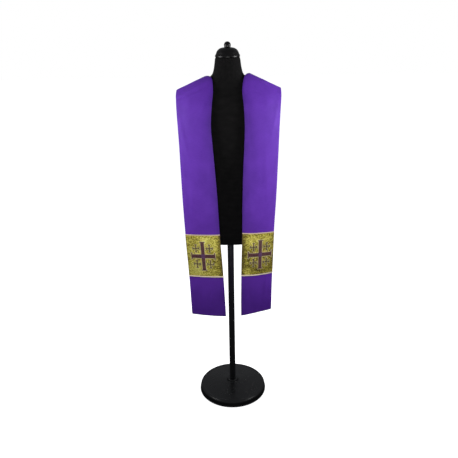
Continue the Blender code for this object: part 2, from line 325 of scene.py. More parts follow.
def grid_of(bm, columns, rows):
    """Adds a flat grid of faces to an empty mesh, and gives each vertex's place in it, as (column, row)."""
    bmesh.ops.create_grid(bm, x_segments=columns, y_segments=rows, size=1.0)
    return {
        vert: (round((vert.co.x + 1) / 2 * columns), round((vert.co.y + 1) / 2 * rows)) for vert in bm.verts
    }


def wave_scale(pitch):
    """The scale at which a wave texture's bands lie this far apart."""
    return math.tau / 20.0 / pitch


def add_ramp(nodes, *stops):
    """A colour ramp through two or more stops, each a position and a colour."""
    ramp = add_node(nodes, "ValToRGB")
    elements = ramp.color_ramp.elements
    for position, _ in stops[1:-1]:
        elements.new(position)
    elements[0].position = stops[0][0]
    elements[-1].position = stops[-1][0]
    for element, (_, colour) in zip(elements, stops):
        element.color = (*colour, 1.0)
    return ramp


rings = rings_of("form_torso")
around = len(rings[0])
torso_bm = bmesh.new()
knit_map = torso_bm.loops.layers.uv.new("cloth")
cells = grid_of(torso_bm, around, len(rings) - 1)
for face in torso_bm.faces:
    for loop in face.loops:
        column, row = cells[loop.vert]
        loop[knit_map].uv = (column / around * NECK_GIRTH, rings[row][0].z)
for vert, (column, row) in cells.items():
    vert.co = rings[row][column % around]
bmesh.ops.remove_doubles(torso_bm, verts=torso_bm.verts, dist=0.00005)
openings = [edge for edge in torso_bm.edges if edge.is_boundary]
bmesh.ops.holes_fill(torso_bm, edges=openings, sides=0)
for face in [face for face in torso_bm.faces if len(face.verts) > 4]:
    bmesh.ops.inset_individual(torso_bm, faces=[face], thickness=BOARD_INSET, depth=0.0)
bmesh.ops.recalc_face_normals(torso_bm, faces=torso_bm.faces)

jersey, nodes, links, shader = new_material(
    "black jersey",
    {"Roughness": 0.92, "Specular IOR Level": 0.12, "Sheen Weight": 0.01, "Sheen Roughness": 0.5},
)
where = add_node(nodes, "UVMap", uv_map="cloth")
wales = add_node(
    nodes, "TexWave", {"Scale": wave_scale(JERSEY_WALE), "Distortion": 0.6}, bands_direction="X"
)
courses = add_node(
    nodes, "TexWave", {"Scale": wave_scale(JERSEY_COURSE), "Distortion": 0.6}, bands_direction="Y"
)
knit = add_node(nodes, "Math", operation="MULTIPLY")
fluff = add_node(nodes, "TexNoise", {"Scale": 60.0, "Detail": 5.0})
shade = add_ramp(nodes, (0.30, (0.0026, 0.0025, 0.0027)), (0.75, (0.0066, 0.0061, 0.0063)))
relief = add_node(nodes, "Bump", {"Strength": 0.5, "Distance": 0.0004})
wire(
    links,
    (where, "UV", wales, "Vector"),
    (where, "UV", courses, "Vector"),
    (where, "UV", fluff, "Vector"),
    (wales, "Fac", knit, 0),
    (courses, "Fac", knit, 1),
    (knit, "Value", relief, "Height"),
    (fluff, "Fac", shade, "Fac"),
    (shade, "Color", shader, "Base Color"),
    (relief, "Normal", shader, "Normal"),
)

torso = piece_from(torso_bm, "jersey_torso", jersey, sharp_deg=75.0)
rounding = torso.modifiers.new("rounding", "SUBSURF")
rounding.levels = 2
rounding.render_levels = 2
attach(torso, "root")
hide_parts("form_torso")


# --- The neck cap and its knob ------------------------------------------------------------------------
# A turned wooden dome that closes the neck, with a small lip at its foot, and a ball knob on a stem
# almost as wide, which screws into it. Both are lacquered gloss black.
CAP_OUTLINE = (
    Corner(0.0000, 1.5832, 0.0),
    Corner(0.0265, 1.5830, 0.0120),
    Corner(0.0408, 1.5722, 0.0090),
    Corner(0.0457, 1.5588, 0.0030),
    Corner(0.0488, 1.5540, 0.0018),
    Corner(0.0487, 1.5487, 0.0016),
    Corner(0.0468, 1.5483, 0.0004),
    Corner(0.0000, 1.5483, 0.0),
)
KNOB_CENTRE = 1.5923
KNOB_RADIUS = 0.0132
KNOB_STEM = 0.0127
KNOB_FOOT = 1.5836
BALL_TURNS = [math.radians(angle) for angle in range(0, 98, 8)]  # from the top down to the stem
KNOB_OUTLINE = (
    *(
        Corner(KNOB_RADIUS * math.sin(turn), KNOB_CENTRE + KNOB_RADIUS * math.cos(turn), 0.0)
        for turn in BALL_TURNS
    ),
    Corner(KNOB_STEM - 0.0004, KNOB_FOOT + 0.0012, 0.0006),
    Corner(KNOB_STEM + 0.0004, KNOB_FOOT, 0.0003),
    Corner(0.0, KNOB_FOOT, 0.0),
)
lacquer = black_finish("black lacquer", (0.0030, 0.0026, 0.0030), 0.25, 0.36, 260.0, 0.05, specular=0.28)
cap = piece_from(turned(CAP_OUTLINE, steps=96), "lacquered_cap", lacquer)
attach(cap, "root")
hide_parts("form_cap")
knob = piece_from(turned(KNOB_OUTLINE, steps=64), "lacquered_knob", lacquer)
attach(knob, "root")
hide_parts("form_knob")


# --- The two purple strips ----------------------------------------------------------------------------
# Each is one long panel of ribbed purple cloth, doubled and turned out so that its edges are folds. It
# hangs down the front, goes over the shoulder and meets the other in a mitred seam at the centre of the
# back.
CLOTH = 0.0018
SEAM_GAP = 0.0002  # between the two at the centre of the back
SEAM_SLOPE = 0.36  # of the back on each side of the seam
SEAM_ROUND = 0.005  # within which that slope eases off, so that the two lie level where they are joined
SEAM_ALLOWANCE = 0.009  # how far the turned-in cloth reaches from an edge
Section = namedtuple("Section", "inner_x inner_y inner_z outer_x outer_y outer_z crown")
RIGHT_SECTIONS = (
    Section(0.0257, -0.156, 0.4842, 0.1730, -0.122, 0.4810, 0.003),  # hem
    Section(0.0332, -0.150, 0.672, 0.1783, -0.122, 0.667, 0.004),  # foot of the band
    Section(0.0451, -0.143, 0.861, 0.1868, -0.117, 0.856, 0.005),  # head of the band
    Section(0.0508, -0.138, 1.000, 0.1915, -0.112, 0.997, 0.006),  # waist
    Section(0.0582, -0.134, 1.120, 0.1942, -0.106, 1.118, 0.007),  # ribs
    Section(0.0649, -0.129, 1.220, 0.1960, -0.100, 1.220, 0.008),  # chest
    Section(0.0698, -0.124, 1.300, 0.1989, -0.091, 1.300, 0.009),  # upper chest
    Section(0.0661, -0.110, 1.368, 0.2020, -0.074, 1.361, 0.008),  # collarbone
    Section(0.0598, -0.080, 1.426, 0.2046, -0.044, 1.402, 0.007),  # front of the shoulder
    Section(0.0638, -0.036, 1.4728, 0.2044, -0.017, 1.421, 0.003),  # corner of the neckline
    Section(0.0871, 0.002, 1.4766, 0.2014, 0.006, 1.4239, 0.0010),  # crest of the shoulder
    Section(0.0790, 0.043, 1.4605, 0.1855, 0.050, 1.4065, 0.0023),  # back of the shoulder
    Section(0.0480, 0.067, 1.436, 0.1380, 0.088, 1.357, 0.003),  # shoulder blade
    Section(0.0002, 0.084, 1.405, 0.0002, 0.110, 1.240, 0.007),  # mitred seam
)
LEFT_SECTIONS = (
    Section(0.0414, -0.156, 0.4862, 0.1734, -0.103, 0.4878, 0.001),
    Section(0.0434, -0.150, 0.672, 0.1755, -0.110, 0.6675, 0.009),
    Section(0.0493, -0.143, 0.8636, 0.1805, -0.1115, 0.8567, 0.008),
    Section(0.0517, -0.138, 1.004, 0.1879, -0.1075, 1.001, 0.007),
    Section(0.0555, -0.134, 1.124, 0.1925, -0.1035, 1.122, 0.007),
    Section(0.0607, -0.129, 1.222, 0.1959, -0.098, 1.222, 0.008),
    Section(0.0630, -0.124, 1.300, 0.1991, -0.091, 1.300, 0.009),
    Section(0.0606, -0.110, 1.368, 0.2034, -0.073, 1.361, 0.008),
    Section(0.0555, -0.080, 1.428, 0.2080, -0.043, 1.403, 0.006),
    Section(0.0648, -0.036, 1.4774, 0.2089, -0.015, 1.4205, 0.004),
    Section(0.0853, 0.002, 1.4848, 0.2069, 0.006, 1.4263, 0.0),
    Section(0.0830, 0.042, 1.4634, 0.1885, 0.050, 1.410, 0.0027),
    Section(0.0490, 0.067, 1.437, 0.1390, 0.088, 1.358, 0.003),
    Section(0.0002, 0.084, 1.405, 0.0002, 0.110, 1.240, 0.007),
)

# Soft creases, one row each: it runs from one place to the other, in metres from the hem and outwards
# from the strip's middle, with its half width and its height, which is below zero for a trough.
Crease = namedtuple("Crease", "from_length from_out to_length to_out half_width height")
RIGHT_CREASES = (
    Crease(0.985, -0.062, 0.955, 0.050, 0.0065, 0.0021),  # across the front of the shoulder
    Crease(0.962, -0.050, 0.930, 0.062, 0.0058, -0.0013),
    Crease(0.925, -0.060, 0.850, -0.020, 0.0072, 0.0016),  # down from the neck
    Crease(0.880, 0.066, 0.700, 0.030, 0.0101, 0.0018),  # long soft fold on the outer side
    Crease(0.760, -0.052, 0.520, -0.030, 0.0108, -0.0015),
    Crease(0.640, 0.020, 0.420, 0.034, 0.0115, 0.0016),
    Crease(0.165, -0.030, 0.020, -0.018, 0.0094, 0.0016),  # under the band
    Crease(0.150, 0.036, 0.045, 0.044, 0.0072, -0.0012),
    Crease(1.060, -0.040, 1.110, 0.030, 0.0062, 0.0022),  # behind the shoulder
    Crease(1.100, -0.050, 1.170, 0.044, 0.0078, -0.0022),
    Crease(1.180, -0.040, 1.220, 0.030, 0.0062, 0.0019),
)
LEFT_CREASES = (
    Crease(0.990, -0.024, 0.970, 0.030, 0.0029, 0.0021),  # a short sharp one under the crest
    Crease(0.955, -0.064, 0.925, 0.010, 0.0058, -0.0015),
    Crease(0.900, 0.060, 0.790, 0.040, 0.0086, 0.0017),
    Crease(0.870, -0.058, 0.740, -0.046, 0.0079, -0.0016),
    Crease(0.735, 0.010, 0.560, 0.026, 0.0122, 0.0015),
    Crease(0.600, -0.050, 0.430, -0.036, 0.0094, 0.0013),
    Crease(0.172, 0.040, 0.030, 0.030, 0.0086, 0.0016),
    Crease(0.140, -0.040, 0.060, -0.034, 0.0065, -0.0013),
    Crease(1.050, -0.030, 1.120, 0.034, 0.0070, -0.0020),
    Crease(1.110, -0.044, 1.150, 0.020, 0.0062, 0.0022),
    Crease(1.190, -0.046, 1.225, 0.040, 0.0070, -0.0019),
)

CREASE_PAST = 0.35  # how far a crease fades out past its ends, as a share of its length
TURNED_IN = 0.00028  # how much thicker the cloth is where it is turned in
FOLD_DROP = 0.0006  # how far it falls away at a folded edge
FOLD_SOFT = 0.0011
CURL_REACH = (0.011, 0.007)  # how far in from its inner and outer edges it curls back
CURL = 0.22  # and how deep, as a share of that
CREST_AT = 1.01  # from the hem; the shoulder holds the edges flatter there
CREST_HALF = 0.06
CREST_FLATTER = 0.85
Wave = namedtuple("Wave", "across along shift height")
WAVES = (Wave(26.0, 9.0, 0.0, 0.0011), Wave(75.0, 48.0, 5.0, 0.00022))  # in waves to the metre


def noise_over(out, length, across, along, seed):
    """Smooth noise at each place of the cloth, with so many waves to the metre across it and along it."""
    values = [noise.noise((u * across, v * along, seed)) for u, v in zip(out.ravel(), length.ravel())]
    return np.array(values).reshape(out.shape)


class Drape:
    """How one strip lies: a smooth skin, asked for by the length from its hem and the place across it, from
    -1 at the inner edge to 1 at the outer edge."""

    SAMPLES = 16  # steps of the smooth rails between two sections

    def __init__(self, side, sections, creases, seed):
        self.side = side
        self.creases = creases
        self.seed = seed
        rows = np.array(sections)
        padded = np.vstack((rows[:1], rows, rows[-1:]))
        steps = np.arange(self.SAMPLES)[:, None] / self.SAMPLES
        rails = []
        for a, b, c, d in zip(padded, padded[1:], padded[2:], padded[3:]):
            slope_b, slope_c = (c - a) / 2, (d - b) / 2
            rails.append(
                b * (2 * steps**3 - 3 * steps**2 + 1)
                + slope_b * (steps**3 - 2 * steps**2 + steps)
                + c * (3 * steps**2 - 2 * steps**3)
                + slope_c * (steps**3 - steps**2)
            )
        table = np.vstack((*rails, rows[-1:]))
        self.inner_rail, self.outer_rail, self.crown_rail = table[:, 0:3], table[:, 3:6], table[:, 6]
        middle = (self.inner_rail + self.outer_rail) / 2
        steps_long = np.linalg.norm(np.diff(middle * (side, 1, 1), axis=0), axis=1)
        self.lengths = np.concatenate(([0.0], np.cumsum(steps_long)))
        self.length = self.lengths[-1]

    def along_rail(self, rail, length):
        return np.stack([np.interp(length, self.lengths, column) for column in rail.T], axis=-1)

    def ends(self, length):
        turn = np.array((self.side, 1.0, 1.0))
        inner, outer = self.along_rail(self.inner_rail, length), self.along_rail(self.outer_rail, length)
        return inner * turn, outer * turn

    def half_width(self, length):
        inner, outer = self.ends(length)
        return np.linalg.norm(outer - inner, axis=-1) / 2

    def chord(self, length, across):
        inner, outer = self.ends(length)
        return inner + (outer - inner) * ((across + 1) / 2)[..., None]

    def relief(self, length, across):
        """The cloth's own relief: soft creases, slow waves, and turned-in edges, a little thicker."""
        half = self.half_width(length)
        out = across * half
        height = np.zeros_like(out)
        for crease in self.creases:
            run = np.array((crease.to_length - crease.from_length, crease.to_out - crease.from_out))
            size = np.linalg.norm(run)
            run /= size
            ahead = (length - crease.from_length) * run[0] + (out - crease.from_out) * run[1]
            aside = (out - crease.from_out) * run[0] - (length - crease.from_length) * run[1]
            past = np.maximum(0.0, np.maximum(-ahead, ahead - size)) / (size * CREASE_PAST)
            fade = np.exp(-(past**2)) * np.sin(np.clip(ahead / size, 0.06, 0.94) * math.pi) ** 0.5
            height += crease.height * fade * np.exp(-((aside / crease.half_width) ** 2))
        for wave in WAVES:
            height += noise_over(out, length, wave.across, wave.along, self.seed + wave.shift) * wave.height
        side_edge = np.maximum(half * (1 - np.abs(across)), 0.0)
        open_edge = np.maximum(np.minimum(side_edge, length), 0.0)
        edge = np.maximum(np.minimum(open_edge, self.length - length), 0.0)
        turned_in = TURNED_IN / (1 + np.exp((edge - SEAM_ALLOWANCE) / FOLD_SOFT))
        rolled = -FOLD_DROP * np.exp(-open_edge / FOLD_SOFT)
        reach = np.where(across < 0, *CURL_REACH)
        over_shoulder = np.exp(-(((length - CREST_AT) / CREST_HALF) ** 2))
        curled = -CURL * reach * np.exp(-side_edge / reach) * (1 - CREST_FLATTER * over_shoulder)
        return height + turned_in + rolled + curled

    def skin(self, length, across):
        probe = 0.004
        middle = np.zeros_like(across)
        along = self.chord(length + probe, middle) - self.chord(length - probe, middle)
        outwards = self.chord(length, middle + 1) - self.chord(length, middle - 1)
        normal = np.cross(outwards, along) * self.side
        normal /= np.linalg.norm(normal, axis=-1)[..., None]
        crown = np.interp(length, self.lengths, self.crown_rail) * (1 - across**2)
        point = self.chord(length, across) + normal * (crown + self.relief(length, across))[..., None]
        from_seam = np.maximum(self.side * point[..., 0], SEAM_GAP / 2)
        point[..., 0] = self.side * from_seam
        point[..., 1] -= SEAM_SLOPE * SEAM_ROUND * np.exp(-from_seam / SEAM_ROUND)
        return point

    def place(self, length, across, lift=0.0):
        """Points on the skin, moved out by lift."""
        length, across = np.broadcast_arrays(np.asarray(length, float), np.asarray(across, float))
        step_long, step_across = 0.0015, 0.02
        along = self.skin(length + step_long, across) - self.skin(length - step_long, across)
        outwards = self.skin(length, across + step_across) - self.skin(length, across - step_across)
        normal = np.cross(outwards, along) * self.side
        normal /= np.linalg.norm(normal, axis=-1)[..., None]
        return self.skin(length, across) + normal * np.asarray(lift)[..., None]


drapes = {
    "right": Drape(-1, RIGHT_SECTIONS, RIGHT_CREASES, seed=3.0),
    "left": Drape(1, LEFT_SECTIONS, LEFT_CREASES, seed=11.0),
}


def cloth_sheet(drape, lengths, across, lift, tone):
    """A grid of cloth on the drape, with its own map in metres: across it, and along it from the hem. The
    tone of each point, which is painted light and shade, is kept with it for the material."""
    bm = bmesh.new()
    tones = bm.verts.layers.float.new("tone")
    sheet_map = bm.loops.layers.uv.new("cloth")
    cells = grid_of(bm, len(across) - 1, len(lengths) - 1)
    rows, columns = np.meshgrid(lengths, across, indexing="ij")
    places = drape.place(rows, columns, lift)
    flat_out = columns * drape.half_width(rows)
    for face in bm.faces:
        for loop in face.loops:
            column, row = cells[loop.vert]
            loop[sheet_map].uv = (flat_out[row, column], lengths[row])
    for vert, (column, row) in cells.items():
        vert.co = places[row, column]
        vert[tones] = tone[row, column]
    if drape.side < 0:
        bmesh.ops.reverse_faces(bm, faces=bm.faces)
    return bm


def give_wall(piece, thickness, edge):
    """Thickens a sheet outwards and rounds its edges."""
    wall = piece.modifiers.new("wall", "SOLIDIFY")
    wall.thickness = thickness
    wall.offset = 1.0
    wall.use_even_offset = True
    soft = piece.modifiers.new("soft edges", "BEVEL")
    soft.limit_method = "ANGLE"
    soft.angle_limit = math.radians(50.0)
    soft.width = edge
    soft.segments = 3


def across_grid(count):
    """Places across a strip, closer together near its edges."""
    even = np.linspace(-1.0, 1.0, count)
    return 1.3 * even - 0.3 * even**3


RIB = 0.0013  # between two ribs, which run across the strip
WARP = 0.0009  # between two warp threads
purple, nodes, links, shader = new_material(
    "purple ribbed cloth",
    {
        "Roughness": 0.64,
        "Specular IOR Level": 0.30,
        "Sheen Weight": 0.08,
        "Sheen Roughness": 0.4,
        "Sheen Tint": (0.50, 0.25, 1.0, 1.0),
    },
)
where = add_node(nodes, "UVMap", uv_map="cloth")
ribs = add_node(
    nodes, "TexWave", {"Scale": wave_scale(RIB), "Distortion": 2.2, "Detail": 2.0, "Detail Scale": 3.0},
    bands_direction="Y",
)
warp = add_node(nodes, "TexWave", {"Scale": wave_scale(WARP), "Distortion": 0.8}, bands_direction="X")
stretch = add_node(nodes, "Mapping", {"Scale": (1.0, 9.0, 1.0)})
slubs = add_node(nodes, "TexNoise", {"Scale": 70.0, "Detail": 4.0, "Roughness": 0.6})
clouds = add_node(nodes, "TexNoise", {"Scale": 14.0, "Detail": 3.0})
blend = add_node(nodes, "Mix", {"Factor": 0.55})
shade = add_ramp(
    nodes,
    (0.0, (0.060, 0.0100, 0.226)),
    (0.30, (0.096, 0.0175, 0.350)),
    (0.72, (0.139, 0.0292, 0.468)),
)
# The tone attribute brings in the painted shade along the inner edges and the painted light below the band.
toned = add_node(nodes, "Attribute", attribute_name="tone")
depth = add_node(nodes, "Math", operation="ADD")
weave = add_node(nodes, "Math", {1: 0.30}, operation="MULTIPLY_ADD")
thick = add_node(nodes, "Math", {1: 0.9}, operation="MULTIPLY_ADD")
relief = add_node(nodes, "Bump", {"Strength": 0.45, "Distance": 0.0003})
wire(
    links,
    (where, "UV", ribs, "Vector"),
    (where, "UV", warp, "Vector"),
    (where, "UV", stretch, "Vector"),
    (where, "UV", clouds, "Vector"),
    (stretch, "Vector", slubs, "Vector"),
    (slubs, "Fac", blend, 2),
    (clouds, "Fac", blend, 3),
    (blend, 0, depth, 0),
    (toned, "Fac", depth, 1),
    (depth, "Value", shade, "Fac"),
    (shade, "Color", shader, "Base Color"),
    (warp, "Fac", weave, 0),
    (ribs, "Fac", weave, 2),
    (slubs, "Fac", thick, 0),
    (weave, "Value", thick, 2),
    (thick, "Value", relief, "Height"),
    (relief, "Normal", shader, "Normal"),
)

STRIP_COLUMNS = 45
STRIP_ROWS = 300
STRIP_EDGE = 0.0007
HEM_FINE = 0.012  # of closer rows at the hem
HEM_ROWS = 9
SEAM_FINE = 0.024  # and at the seam
SEAM_ROWS = 25
INNER_EDGE_PAINTED_SHADE = -0.42  # painted shade: the cloth is darker along its inner edge
INNER_EDGE_SHADE_REACH = 0.020
UNDER_BAND_PAINTED_LIGHT = 0.26  # and painted light: a shade lighter between the hem and the band
UNDER_BAND_LIGHT_AT = 0.180
UNDER_BAND_LIGHT_REACH = 0.085
strip_across = across_grid(STRIP_COLUMNS)
for label, drape in drapes.items():
    seam_from = drape.length - SEAM_FINE
    lengths = np.concatenate(
        (
            np.linspace(0.0, HEM_FINE, HEM_ROWS)[:-1],
            np.linspace(HEM_FINE, seam_from, STRIP_ROWS),
            np.linspace(seam_from, drape.length, SEAM_ROWS)[1:],
        )
    )
    rows, columns = np.meshgrid(lengths, strip_across, indexing="ij")
    from_inner = (1 + columns) * drape.half_width(rows)
    # The tone is painted shade along the inner edge and painted light between the hem and the band.
    tone = INNER_EDGE_PAINTED_SHADE * np.exp(-from_inner / INNER_EDGE_SHADE_REACH)
    tone += UNDER_BAND_PAINTED_LIGHT * np.exp(-(((rows - UNDER_BAND_LIGHT_AT) / UNDER_BAND_LIGHT_REACH) ** 2))
    strip_bm = cloth_sheet(drape, lengths, strip_across, 0.0, tone)
    strip = piece_from(strip_bm, f"purple_strip_{label}", purple)
    give_wall(strip, CLOTH, STRIP_EDGE)
    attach(strip, "root")
    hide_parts(f"strip_{label}")


# --- The gold bands -----------------------------------------------------------------------------------
# A panel of crinkled gold metal-thread cloth, as wide as the strip, with its long edges turned under
# and sewn down.
BAND_FOOT = 0.1911  # from the hem
BAND_HEAD = 0.3720
BAND_CLOTH = 0.0012
BAND_EDGE = 0.0004
LAID_GAP = 0.0004
EDGE_INSET = 0.006  # of the band's edge from the strip's, as a share of the half width
ON_STRIP = CLOTH + LAID_GAP

gold, nodes, links, shader = new_material(
    "crinkled gold cloth", {"Metallic": 0.45, "Specular IOR Level": 0.4}
)
where = add_node(nodes, "UVMap", uv_map="cloth")
patches = add_node(
    nodes, "TexNoise", {"Scale": 92.0, "Detail": 3.0, "Roughness": 0.55, "Distortion": 0.9}
)
fine = add_node(nodes, "TexNoise", {"Scale": 210.0, "Detail": 3.0})
mottle = add_node(nodes, "Mix", {"Factor": 0.48})
# The tone attribute brings in the painted highlights and painted shade of the patches and edges.
toned = add_node(nodes, "Attribute", attribute_name="tone")
gleam = add_node(nodes, "Math", operation="ADD")
shade = add_ramp(
    nodes,
    (0.385, (0.135, 0.100, 0.016)),
    (0.50, (0.560, 0.472, 0.066)),
    (0.62, (0.930, 0.855, 0.190)),
    (0.72, (1.0, 0.970, 0.310)),
)
dull = add_node(nodes, "MapRange", {"From Min": 0.36, "From Max": 0.64, "To Min": 0.60, "To Max": 0.36})
threads = add_node(
    nodes, "TexWave", {"Scale": 260.0, "Distortion": 3.5, "Detail": 2.0}, bands_direction="Y"
)
crinkle = add_node(nodes, "Math", {1: 0.10}, operation="MULTIPLY_ADD")
relief = add_node(nodes, "Bump", {"Strength": 0.9, "Distance": 0.0016})
wire(
    links,
    (where, "UV", patches, "Vector"),
    (where, "UV", fine, "Vector"),
    (where, "UV", threads, "Vector"),
    (patches, "Fac", mottle, 2),
    (fine, "Fac", mottle, 3),
    (mottle, 0, gleam, 0),
    (toned, "Fac", gleam, 1),
    (gleam, "Value", shade, "Fac"),
    (gleam, "Value", dull, "Value"),
    (shade, "Color", shader, "Base Color"),
    (dull, "Result", shader, "Roughness"),
    (threads, "Fac", crinkle, 0),
    (mottle, 0, crinkle, 2),
    (crinkle, "Value", relief, "Height"),
    (relief, "Normal", shader, "Normal"),
)

# Painted highlights and painted shade on the gold cloth: patches painted lighter where it gleams and
# darker where it is dull. The place, in metres from the hem and outwards from the strip's middle, the
# half lengths of the patch, and how much it changes.
PaintedGleam = namedtuple("PaintedGleam", "length out half_length half_out change")
PAINTED_GLEAMS = {
    "right": (
        PaintedGleam(0.345, -0.010, 0.020, 0.020, 0.13),
        PaintedGleam(0.214, 0.034, 0.024, 0.034, 0.115),
        PaintedGleam(0.330, -0.050, 0.040, 0.011, 0.08),
        PaintedGleam(0.345, 0.036, 0.022, 0.020, -0.05),
        PaintedGleam(0.262, -0.046, 0.050, 0.018, -0.05),
        PaintedGleam(0.285, 0.056, 0.040, 0.008, 0.04),
        PaintedGleam(0.282, 0.000, 0.300, 0.300, 0.025),  # painted light over the whole band
    ),
    "left": (
        PaintedGleam(0.342, -0.030, 0.022, 0.030, 0.12),
        PaintedGleam(0.352, 0.034, 0.014, 0.018, 0.09),
        PaintedGleam(0.222, -0.014, 0.016, 0.034, -0.06),
        PaintedGleam(0.240, 0.054, 0.034, 0.014, -0.07),
        PaintedGleam(0.205, 0.012, 0.014, 0.016, -0.05),
        PaintedGleam(0.202, -0.050, 0.016, 0.018, 0.12),
        # painted shade over the whole band
        PaintedGleam(0.282, 0.000, 0.300, 0.300, -0.025),
    ),
}
PaintedEdgeShade = namedtuple("PaintedEdgeShade", "reach change")  # painted shade: the cloth is darker along its folded edges
PAINTED_SHADE_INNER_EDGE = PaintedEdgeShade(0.0110, -0.20)
PAINTED_SHADE_OUTER_EDGE = PaintedEdgeShade(0.0035, -0.12)
FAR_INSIDE = 0.04  # further in from its edges than this, the cloth stays the same
PUCKER = 0.00030  # height of the cloth's slow unevenness
CREPE = 0.00011  # and of the small one
BAND_DROP = 0.0004  # how far the band falls away at its folded edges
BAND_SOFT = 0.0012
SEWN_DROP = 0.0003  # how far the stitches pull it down
SEWN_HALF = 0.0009
BAND_COLUMNS = 89
BAND_ROWS = 113
STITCH_INSET = 0.0038
STITCH_LONG = 0.0021
STITCH_STEP = 0.0034
STITCH_THICK = 0.00028
STITCH_ARCH = 0.00045
STITCH_POINTS = 5
STITCHES_FROM = BAND_FOOT + 0.004
STITCHES_TO = BAND_HEAD - 0.005

sewing_thread, *_ = new_material(
    "old gold sewing thread", {"Base Color": (0.30, 0.22, 0.06, 1.0), "Roughness": 0.5}
)


def tube_along(bm, points, radius, closed=False, resolution=2):
    """Adds a round tube along the points to the mesh."""
    path = bpy.data.curves.new("path", "CURVE")
    path.dimensions = "3D"
    path.bevel_depth = radius
    path.bevel_resolution = resolution
    path.use_fill_caps = not closed
    line = path.splines.new("POLY")
    line.points.add(len(points) - 1)
    line.points.foreach_set("co", np.column_stack((points, np.ones(len(points)))).ravel())
    line.use_cyclic_u = closed
    holder = bpy.data.objects.new("path", path)
    bpy.context.scene.collection.objects.link(holder)
    bpy.context.view_layer.update()
    tube = bpy.data.meshes.new_from_object(holder.evaluated_get(bpy.context.evaluated_depsgraph_get()))
    bm.from_mesh(tube)
    bpy.data.meshes.remove(tube)
    bpy.data.objects.remove(holder)
    bpy.data.curves.remove(path)


band_across = across_grid(BAND_COLUMNS) * (1 - EDGE_INSET)
for label, drape in drapes.items():
    lengths = np.linspace(BAND_FOOT, BAND_HEAD, BAND_ROWS)
    rows, columns = np.meshgrid(lengths, band_across, indexing="ij")
    out = columns * drape.half_width(rows)
    edge = np.minimum(drape.half_width(rows) * (1 - EDGE_INSET) - np.abs(out), FAR_INSIDE)
    puckers = noise_over(out, rows, 120.0, 84.0, drape.seed) * PUCKER
    puckers += noise_over(out, rows, 300.0, 240.0, 2.0) * CREPE
    lift = ON_STRIP + puckers - BAND_DROP * np.exp(-edge / BAND_SOFT)
    lift -= SEWN_DROP * np.exp(-(((edge - STITCH_INSET) / SEWN_HALF) ** 2))
    # The tone is painted light and shade: lighter and darker patches, and darker edges.
    tone = np.zeros_like(out)
    for spot in PAINTED_GLEAMS[label]:
        far = ((rows - spot.length) / spot.half_length) ** 2 + ((out - spot.out) / spot.half_out) ** 2
        tone += spot.change * np.exp(-far)
    for edge_shade, beside in ((PAINTED_SHADE_INNER_EDGE, out < 0), (PAINTED_SHADE_OUTER_EDGE, out >= 0)):
        tone += np.where(beside, edge_shade.change * np.exp(-edge / edge_shade.reach), 0.0)
    band = piece_from(cloth_sheet(drape, lengths, band_across, lift, tone), f"gold_band_{label}", gold)
    give_wall(band, BAND_CLOTH, BAND_EDGE)
    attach(band, "root")
    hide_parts(f"band_{label}")

    stitches_bm = bmesh.new()
    arch = STITCH_ARCH * np.sin(np.linspace(0.0, math.pi, STITCH_POINTS)) - STITCH_ARCH
    for row in np.arange(STITCHES_FROM, STITCHES_TO, STITCH_STEP):
        for way in (-1, 1):
            stitch_at = np.linspace(row, row + STITCH_LONG, STITCH_POINTS)
            across = way * ((1 - EDGE_INSET) - STITCH_INSET / drape.half_width(stitch_at))
            points = drape.place(stitch_at, across, ON_STRIP + BAND_CLOTH + arch)
            tube_along(stitches_bm, points, STITCH_THICK, resolution=1)
    stitches = piece_from(stitches_bm, f"side_stitches_{label}", sewing_thread)
    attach(stitches, "root")


# --- The trims ----------------------------------------------------------------------------------------
# A cream and pale gold cord of three silky strands, twisted, laid along the head and the foot of each
# band and sewn down flat, so that it hides the band's raw edges.
Trim = namedtuple("Trim", "name centre strand_radius half_height half_depth dark light")
GAP = 0.0003
HEAD_CENTRE = BAND_HEAD + GAP + 0.00225
FOOT_CENTRE = BAND_FOOT - GAP - 0.00290
# Both are one silk: the head cord is painted darker, as painted shade, and the foot cord lighter, as
# painted light.
TRIMS = (
    Trim("head", HEAD_CENTRE, 0.00098, 0.00120, 0.00050, (0.70, 0.47, 0.28), (0.95, 0.77, 0.52)),
    Trim("foot", FOOT_CENTRE, 0.00132, 0.00150, 0.00085, (0.96, 0.76, 0.50), (1.00, 0.91, 0.67)),
)
TWIST = 0.0085  # length of one turn
STRANDS = 3
CORD_POINTS = 260
CORD_LOWEST = 0.9  # height of a strand's middle over the purple, in its own radii
END_TAPER = 0.0025  # over which its ends dip into the cloth
END_DIP = 0.0009


def silk_cord(name, dark, light):
    """Glossy floss with fine fibres, a shade lighter along some of them."""
    silk, nodes, links, shader = new_material(
        name, {"Roughness": 0.42, "Specular IOR Level": 0.5, "Sheen Weight": 0.3}
    )
    where = add_node(nodes, "TexCoord")
    fibres = add_node(nodes, "TexNoise", {"Scale": 1500.0, "Detail": 3.0})
    shade = add_ramp(nodes, (0.3, dark), (0.7, light))
    relief = add_node(nodes, "Bump", {"Strength": 0.4, "Distance": 0.0002})
    wire(
        links,
        (where, "Object", fibres, "Vector"),
        (fibres, "Fac", shade, "Fac"),
        (shade, "Color", shader, "Base Color"),
        (fibres, "Fac", relief, "Height"),
        (relief, "Normal", shader, "Normal"),
    )
    return silk


